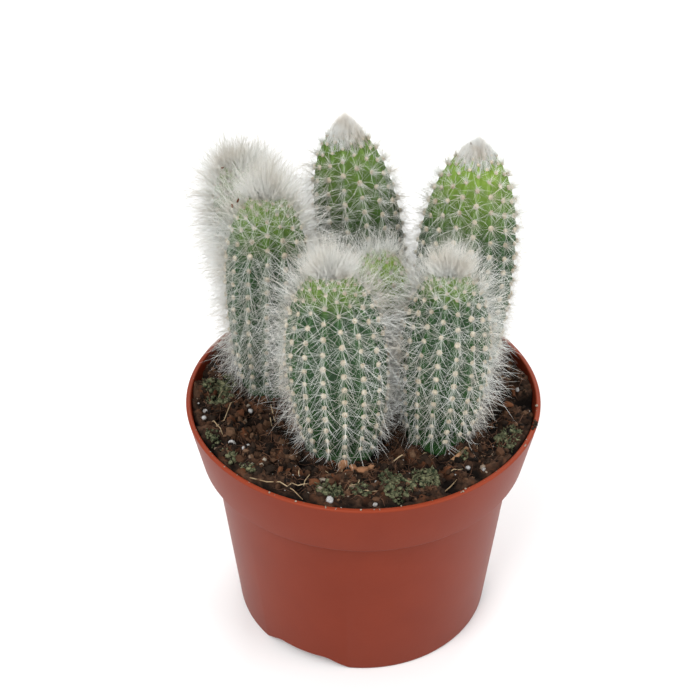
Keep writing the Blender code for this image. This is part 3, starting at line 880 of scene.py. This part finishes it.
def stem_body(name, stem):
    """The ribbed body, moulded from a sphere whose rings follow the outline."""
    way, heights, radii, rows, spacing = meridian(stem)
    bm = bmesh.new()
    bmesh.ops.create_uvsphere(bm, u_segments=BODY_COLUMNS, v_segments=BODY_RINGS, radius=1)
    sphere = np.array([vert.co for vert in bm.verts])
    ring_share = np.arccos(np.clip(sphere[:, 2], -1, 1)) / math.pi
    angle = np.arctan2(sphere[:, 1], sphere[:, 0])
    at = ring_share * way[-1]
    height = np.interp(at, way, heights)
    radius = np.interp(at, way, radii)
    row = np.interp(at, way, rows)
    step = np.interp(at, way, spacing)
    ribs = stem["ribs"]
    phase = (angle - stem["turn"] - RIB_TWIST * height / stem["height"]) / math.tau * ribs
    rib = np.round(phase)
    off_crest = (phase - rib) * math.tau / ribs * radius
    groove = np.abs(np.sin((phase - rib) * math.pi)) ** 1.6
    stagger = np.where(rib % 2 == 0, 0.0, 0.5)
    off_row = (row - stagger - np.round(row - stagger)) * step
    mound = np.exp(-(off_row ** 2 + off_crest ** 2) / MOUND_REACH ** 2)
    fade = smooth_step(0, 0.006, radius) * smooth_step(0, 0.004, height)
    depth = np.minimum(RIB_DEPTH, radius * 0.14)
    radius = radius - fade * (depth * groove - MOUND * (mound - 0.45))
    middle_x, middle_y = axis_places(stem, height)
    x, y = middle_x + np.cos(angle) * radius, middle_y + np.sin(angle) * radius
    places = np.stack([x, y, SOIL_LEVEL + height], axis=1)
    for vert, place in zip(bm.verts, places):
        vert.co = place
    body = piece_from(bm, f"{name}_body")
    share = height / stem["height"]
    starts, amount = stem["youth"]
    mark(body, "young", smooth_step(starts, 1.0, share) * amount)
    # Painted shade: how deep each point lies in a rib groove, so the skin can be painted darker there.
    mark(body, "rib_groove_shade", groove * fade)
    return body


cactus_skin, tree, shader = new_material("cactus_skin")
# Painted shade: the rib grooves are painted a darker green than the crests.
groove_shade_tone = add_mottle(tree, (0.006, 0.028, 0.008), (0.014, 0.052, 0.013), 240, 0.3, 0.7)
crest = add_mottle(tree, (0.015, 0.058, 0.014), (0.030, 0.092, 0.022), 300, 0.3, 0.7)
fresh = add_mottle(tree, (0.140, 0.240, 0.024), (0.250, 0.390, 0.046), 240, 0.3, 0.7)
ribbed = mixed(tree, mark_read(tree, "rib_groove_shade"), crest.outputs["Color"], groove_shade_tone.outputs["Color"])
aged = mixed(tree, mark_read(tree, "young"), ribbed, fresh.outputs["Color"])
coat(tree, shader, aged, 0.55, 0.30)
skin_grain = add_mottle(tree, (0, 0, 0), (1, 1, 1), 1500, 0.3, 0.7)
add_bump(tree, shader, skin_grain.outputs["Height"], 0.0001, 0.5)
for stem_name, stem in STEMS.items():
    body = stem_body(stem_name, stem)
    settle(body, f"stem_{stem_name}", cactus_skin)

# Areoles: round pads of off-white wool in a row on each rib crest, staggered from rib to rib, each
# the root of a ring of bristles. The newest, round the crown, are smaller and stand closer.
WOOL_WIDTH = 0.00080
WOOL_RISE = 0.00060
LOWEST_AREOLE = 0.0012


def areoles(stem):
    """The stem's areoles: place, outward, upward and sideways directions, and share of height."""
    way, heights, radii, rows, _ = meridian(stem)
    found = []
    for rib in range(stem["ribs"]):
        stagger = 0.5 if rib % 2 else 0.0
        row = 1 + stagger
        while True:
            at = np.interp(row, rows, way)
            row += 1
            height = np.interp(at, way, heights)
            if height < LOWEST_AREOLE:
                break
            radius = np.interp(at, way, radii)
            if radius < 0.002 and rib % 2:
                continue
            ahead, behind = at + 0.0004, at - 0.0004
            slope = np.array([
                np.interp(ahead, way, radii) - np.interp(behind, way, radii),
                np.interp(ahead, way, heights) - np.interp(behind, way, heights)])
            slope /= np.linalg.norm(slope)
            angle = rib_angle(stem, rib, height)
            flat = np.array([math.cos(angle), math.sin(angle), 0])
            upright = np.array([0, 0, 1.0])
            outward = -slope[1] * flat + slope[0] * upright
            upward = -slope[0] * flat - slope[1] * upright
            sideways = np.array([-math.sin(angle), math.cos(angle), 0])
            x, y = axis_places(stem, height)
            place = np.array([x, y, SOIL_LEVEL + height]) + flat * radius
            found.append((place, outward, upward, sideways, height / stem["height"]))
    return found


wool_paint, tree, shader = new_material("areole_wool")
wool_tone = add_mottle(tree, (0.31, 0.24, 0.16), (0.60, 0.53, 0.41), 900, 0.30, 0.56)
coat(tree, shader, wool_tone.outputs["Color"], 0.95)
add_bump(tree, shader, wool_tone.outputs["Height"], 0.0002, 0.6)
noise.seed_set(5)
for stem_name, stem in STEMS.items():
    rng = np.random.default_rng(len(stem_name) + 40)
    whole = bmesh.new()
    for place, outward, upward, sideways, share in areoles(stem):
        size = rng.uniform(0.85, 1.15) * (1 - 0.35 * float(smooth_step(0.80, 0.98, share)))
        turn = Matrix((sideways, upward, outward)).transposed().to_4x4()
        scale = Matrix.Diagonal((WOOL_WIDTH * size, WOOL_WIDTH * size * 1.08, WOOL_RISE * size, 1))
        seat = Matrix.Translation(Vector(place + outward * 0.0002))
        bm = bmesh.new()
        bmesh.ops.create_uvsphere(bm, u_segments=8, v_segments=4, radius=1, matrix=seat @ turn @ scale)
        for vert in bm.verts:
            rough = noise.noise(vert.co * 2600)
            vert.co += Vector(outward) * rough * 0.00022 + noise.noise_vector(vert.co * 2100) * 0.00012
        add_to(whole, bm)
    wool = piece_from(whole, f"{stem_name}_areole_wool")
    settle(wool, f"stem_{stem_name}", wool_paint)

# Hair: every areole bears a ring of fine white bristles that lie over the skin and criss-cross
# their neighbours', and longer ones that stand out. The newest form a fan or a cone on the crown.
# Bristles go by count, rise off the skin in degrees, length and thickness from root to tip.
BRISTLES = {
    "wool": (9, (5, 75), (0.0007, 0.0014), (1.5, 0)),
    "fine": (27, (6, 70), (0.0042, 0.0088), (0.70, 0)),
    "long": (8, (12, 80), (0.0065, 0.0105), (0.60, 0.90, 0.80, 0)),
}
FAN_HAIRS_PER_METRE = 120000
FAN_REACH = 0.0043
CONE_HAIRS = 2200
CONE_REACH = 0.0080
HAIR_RADIUS = 0.000044
REACH_LIMIT = 0.0539
TOP_LIMIT = 0.1545
BODY_CLEARANCE = 0.00025
GROUND_CLEARANCE = 0.0004
ROOT_SINK = 0.0003
# The fan's hair turns beige over the crown, which is its own tone. Near the crown it keeps the paler
# tone as painted light, against the shade the dense tuft casts on its base.
BRUSH_TONE = (0.52, 0.50, 0.44)
BRUSH_BLEND_OVER_LIT_BASE = (0.001, 0.007)
BRUSH_SHARE = 0.8
UP = np.array([0, 0, 1.0])


def solid_table(stem):
    """Heights, middle places and crest radii, to keep hair out of the stems."""
    heights = np.linspace(-PLUG_DEPTH, stem["height"], 300)
    x, y = axis_places(stem, heights)
    return heights + SOIL_LEVEL, x, y, crest_radius(stem, np.maximum(heights, 0))


solid_tables = {name: solid_table(stem) for name, stem in STEMS.items()}


def bent_clear(points, own):
    """Hair points pushed out of the other stems, the soil, the pot's wall, and the object's box."""
    for name, (z_table, x_table, y_table, r_table) in solid_tables.items():
        if name == own:
            continue
        z = points[..., 2]
        off_x = points[..., 0] - np.interp(z, z_table, x_table)
        off_y = points[..., 1] - np.interp(z, z_table, y_table)
        out = np.maximum(np.hypot(off_x, off_y), 1e-6)
        wanted = np.interp(z, z_table, r_table) + BODY_CLEARANCE
        push = np.where((z < z_table[-1]) & (out < wanted), wanted / out - 1, 0)
        points[..., 0] += off_x * push
        points[..., 1] += off_y * push
    z = points[..., 2]
    out = np.hypot(points[..., 0], points[..., 1])
    wall = inner_wall_radius(z) - BODY_CLEARANCE
    touches = (z < POT_HEIGHT + BODY_CLEARANCE) & (out > wall)
    squeeze = np.where(touches, wall / np.maximum(out, 1e-6), 1)
    points[..., :2] *= squeeze[..., None]
    points[..., 2] = np.maximum(z, soil_height(points[..., 0], points[..., 1]) + GROUND_CLEARANCE)
    points[..., 2] = np.minimum(points[..., 2], TOP_LIMIT)
    over = np.abs(points[..., :2]).max(axis=-1)
    points[..., :2] *= np.minimum(REACH_LIMIT / np.maximum(over, 1e-6), 1)[..., None]
    return points


def hair_lines(root, way, length, curl, points):
    """Lines of a few points that start at root, point along way, and bend by curl at their tips."""
    shares = (np.linspace(0, 1, points) ** 0.85)[None, :, None]
    return root[:, None] + way[:, None] * length[:, None, None] * shares + curl[:, None] * shares ** 2


def unit(ways):
    return ways / np.linalg.norm(ways, axis=-1, keepdims=True)


def cone_tip(stem):
    """The point over the crown where the bristles of a cone meet."""
    height = stem["height"]
    return np.array([*axis_places(stem, height), SOIL_LEVEL + height + stem["tuft"]])


def areole_hair(stem, found, kind, rng):
    """A ring of bristles round each areole, tending down near the foot and up near the crown."""
    each, rises, lengths, _ = BRISTLES[kind]
    each = round(each * stem["thick"])
    places, outward, upward, sideways = (np.array([row[i] for row in found]) for i in range(4))
    areole_share = np.array([row[4] for row in found])
    areole = np.repeat(np.arange(len(found)), each)
    total = len(areole)
    around = np.tile(np.arange(each) / each, len(found)) + rng.uniform(-0.03, 0.03, total)
    around = (around + rng.uniform(0, 1, len(found))[areole]) * math.tau
    share = areole_share[areole]
    rise = np.radians(rng.uniform(*rises, total)) * (1 + 0.25 * smooth_step(0.45, 0.75, share))
    up_lean = 0.25 if stem["cone"] else 0.7
    tilt = -0.26 + 0.26 * smooth_step(0.25, 0.70, share) + up_lean * smooth_step(0.78, 0.96, share)
    flat_way = np.cos(around)[:, None] * upward[areole] + np.sin(around)[:, None] * sideways[areole]
    way = flat_way * np.cos(rise)[:, None] + outward[areole] * np.sin(rise)[:, None]
    way = way + UP * tilt[:, None]
    inward = np.minimum((way * outward[areole]).sum(1) - 0.10, 0)
    way = unit(way - outward[areole] * inward[:, None])
    if stem["cone"]:
        to_tip = unit(cone_tip(stem) - places[areole])
        way = unit(way + to_tip * 0.9 * smooth_step(0.85, 0.97, share)[:, None])
    length = rng.uniform(*lengths, total)
    if kind != "wool":
        length *= stem["hair"]
        length *= 0.62 + 0.38 * smooth_step(0.0, 0.40, share)
        length *= 1 + 0.32 * smooth_step(0.60, 0.78, share) - 0.34 * smooth_step(0.88, 0.96, share)
        if stem["cone"]:
            length *= 1 - 0.50 * smooth_step(0.80, 0.94, share)
    curl = rng.normal(0, 0.20, (total, 3)) * length[:, None]
    curl[:, 2] -= 0.06 * length
    root = places[areole] + outward[areole] * 0.0001 + rng.normal(0, 0.00026, (total, 3))
    density = 0.70 + 0.30 * smooth_step(0.05, 0.45, share) - 0.25 * smooth_step(0.88, 0.96, share)
    kept = rng.uniform(0, 1, total) < density
    return hair_lines(root, way, length, curl, 4 if kind == "long" else 2)[kept]


def crown_hair(stem, rng):
    """The brush on the crown: a cone whose bristles lean on each other, or a fan that leans back."""
    count = CONE_HAIRS if stem["cone"] else round(FAN_HAIRS_PER_METRE * stem["tuft"])
    around = rng.uniform(0, math.tau, count)
    to_back = np.sin(around)
    if stem["cone"]:
        reach, crowding = CONE_REACH, 0.95
    else:
        reach, crowding = FAN_REACH * (1 + 0.45 * to_back), 0.75
    off = reach * rng.uniform(0, 1, count) ** crowding
    way_table, heights, radii, _, _ = meridian(stem)
    height = np.interp(off, way_table, heights)
    radius = np.interp(off, way_table, radii)
    x, y = axis_places(stem, height)
    flat = np.stack([np.cos(around), np.sin(around), np.zeros(count)], axis=1)
    root = np.stack([x, y, SOIL_LEVEL + height - ROOT_SINK], axis=1) + flat * radius[:, None]
    noise_way = rng.normal(0, 0.10, (count, 3))
    if stem["cone"]:
        gap = cone_tip(stem) - root
        distance = np.linalg.norm(gap, axis=1)
        way = unit(gap / distance[:, None] + flat * 0.08 * (off / reach)[:, None] + noise_way * 0.6)
        length = distance * rng.uniform(0.50, 1.12, count) * (1 - 0.30 * off / reach)
    else:
        spread = 0.04 + (1.25 + 0.45 * to_back) * (off / reach) ** 1.6
        way = unit(UP + flat * spread[:, None] + noise_way)
        length = stem["tuft"] * rng.uniform(0.40, 1.20, count) * (1 - 0.46 * off / reach)
    curl = rng.normal(0, 0.08, (count, 3)) * length[:, None]
    return hair_lines(root, way, length, curl, 2)


hair_paint, tree, shader = new_material("cactus_hair")
hair_tone = add_mottle(tree, (0.67, 0.61, 0.52), (0.81, 0.82, 0.79), 130, 0.32, 0.56)
coat(tree, shader, mixed(tree, mark_read(tree, "brush"), hair_tone.outputs["Color"], BRUSH_TONE), 0.45)
for number, (stem_name, stem) in enumerate(STEMS.items()):
    rng = np.random.default_rng(100 + number)
    found = areoles(stem)
    sets = [(areole_hair(stem, found, kind, rng), row[3]) for kind, row in BRISTLES.items()]
    sets.append((crown_hair(stem, rng), (0.95, 0)))
    sets = [(bent_clear(lines, stem_name), thickness) for lines, thickness in sets]
    hair = strands(f"{stem_name}_hair", HAIR_RADIUS, sets)
    crown = SOIL_LEVEL + stem["height"]
    rises = np.array([vert.co.z for vert in hair.data.vertices]) - crown
    # Painted light: fan hair near the crown stays paler against its own shade; higher up it turns
    # beige.
    mark(hair, "brush", smooth_step(*BRUSH_BLEND_OVER_LIT_BASE, rises) * (0.0 if stem["cone"] else BRUSH_SHARE))
    settle(hair, f"stem_{stem_name}", hair_paint)

# Husks: dry brown shells of seeds that blew in, four of them, caught in the hair near the crowns of
# the back left, left and right stems.
HUSK_SIZE = np.array([0.0007, 0.00035, 0.0003])
HUSKS = {
    "back_left": ((-0.0413, 0.0301, 0.1351),),
    "left": ((-0.0365, 0.0060, 0.1367), (-0.0346, 0.0040, 0.1395)),
    "right": ((0.0298, 0.0240, 0.1467),),
}
rng = np.random.default_rng(71)
for stem_name, places in HUSKS.items():
    bm = bmesh.new()
    tints = []
    for place in places:
        tints += [rng.uniform(0.2, 0.6)] * add_lump(bm, place, HUSK_SIZE, rng)
    husks = piece_from(bm, f"{stem_name}_husks")
    mark(husks, "tint", tints)
    settle(husks, f"stem_{stem_name}", bark_paint)

low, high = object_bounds()
sizes = {"cad_box": [list(cad_low), list(cad_high)], "visual_box": [list(low), list(high)]}
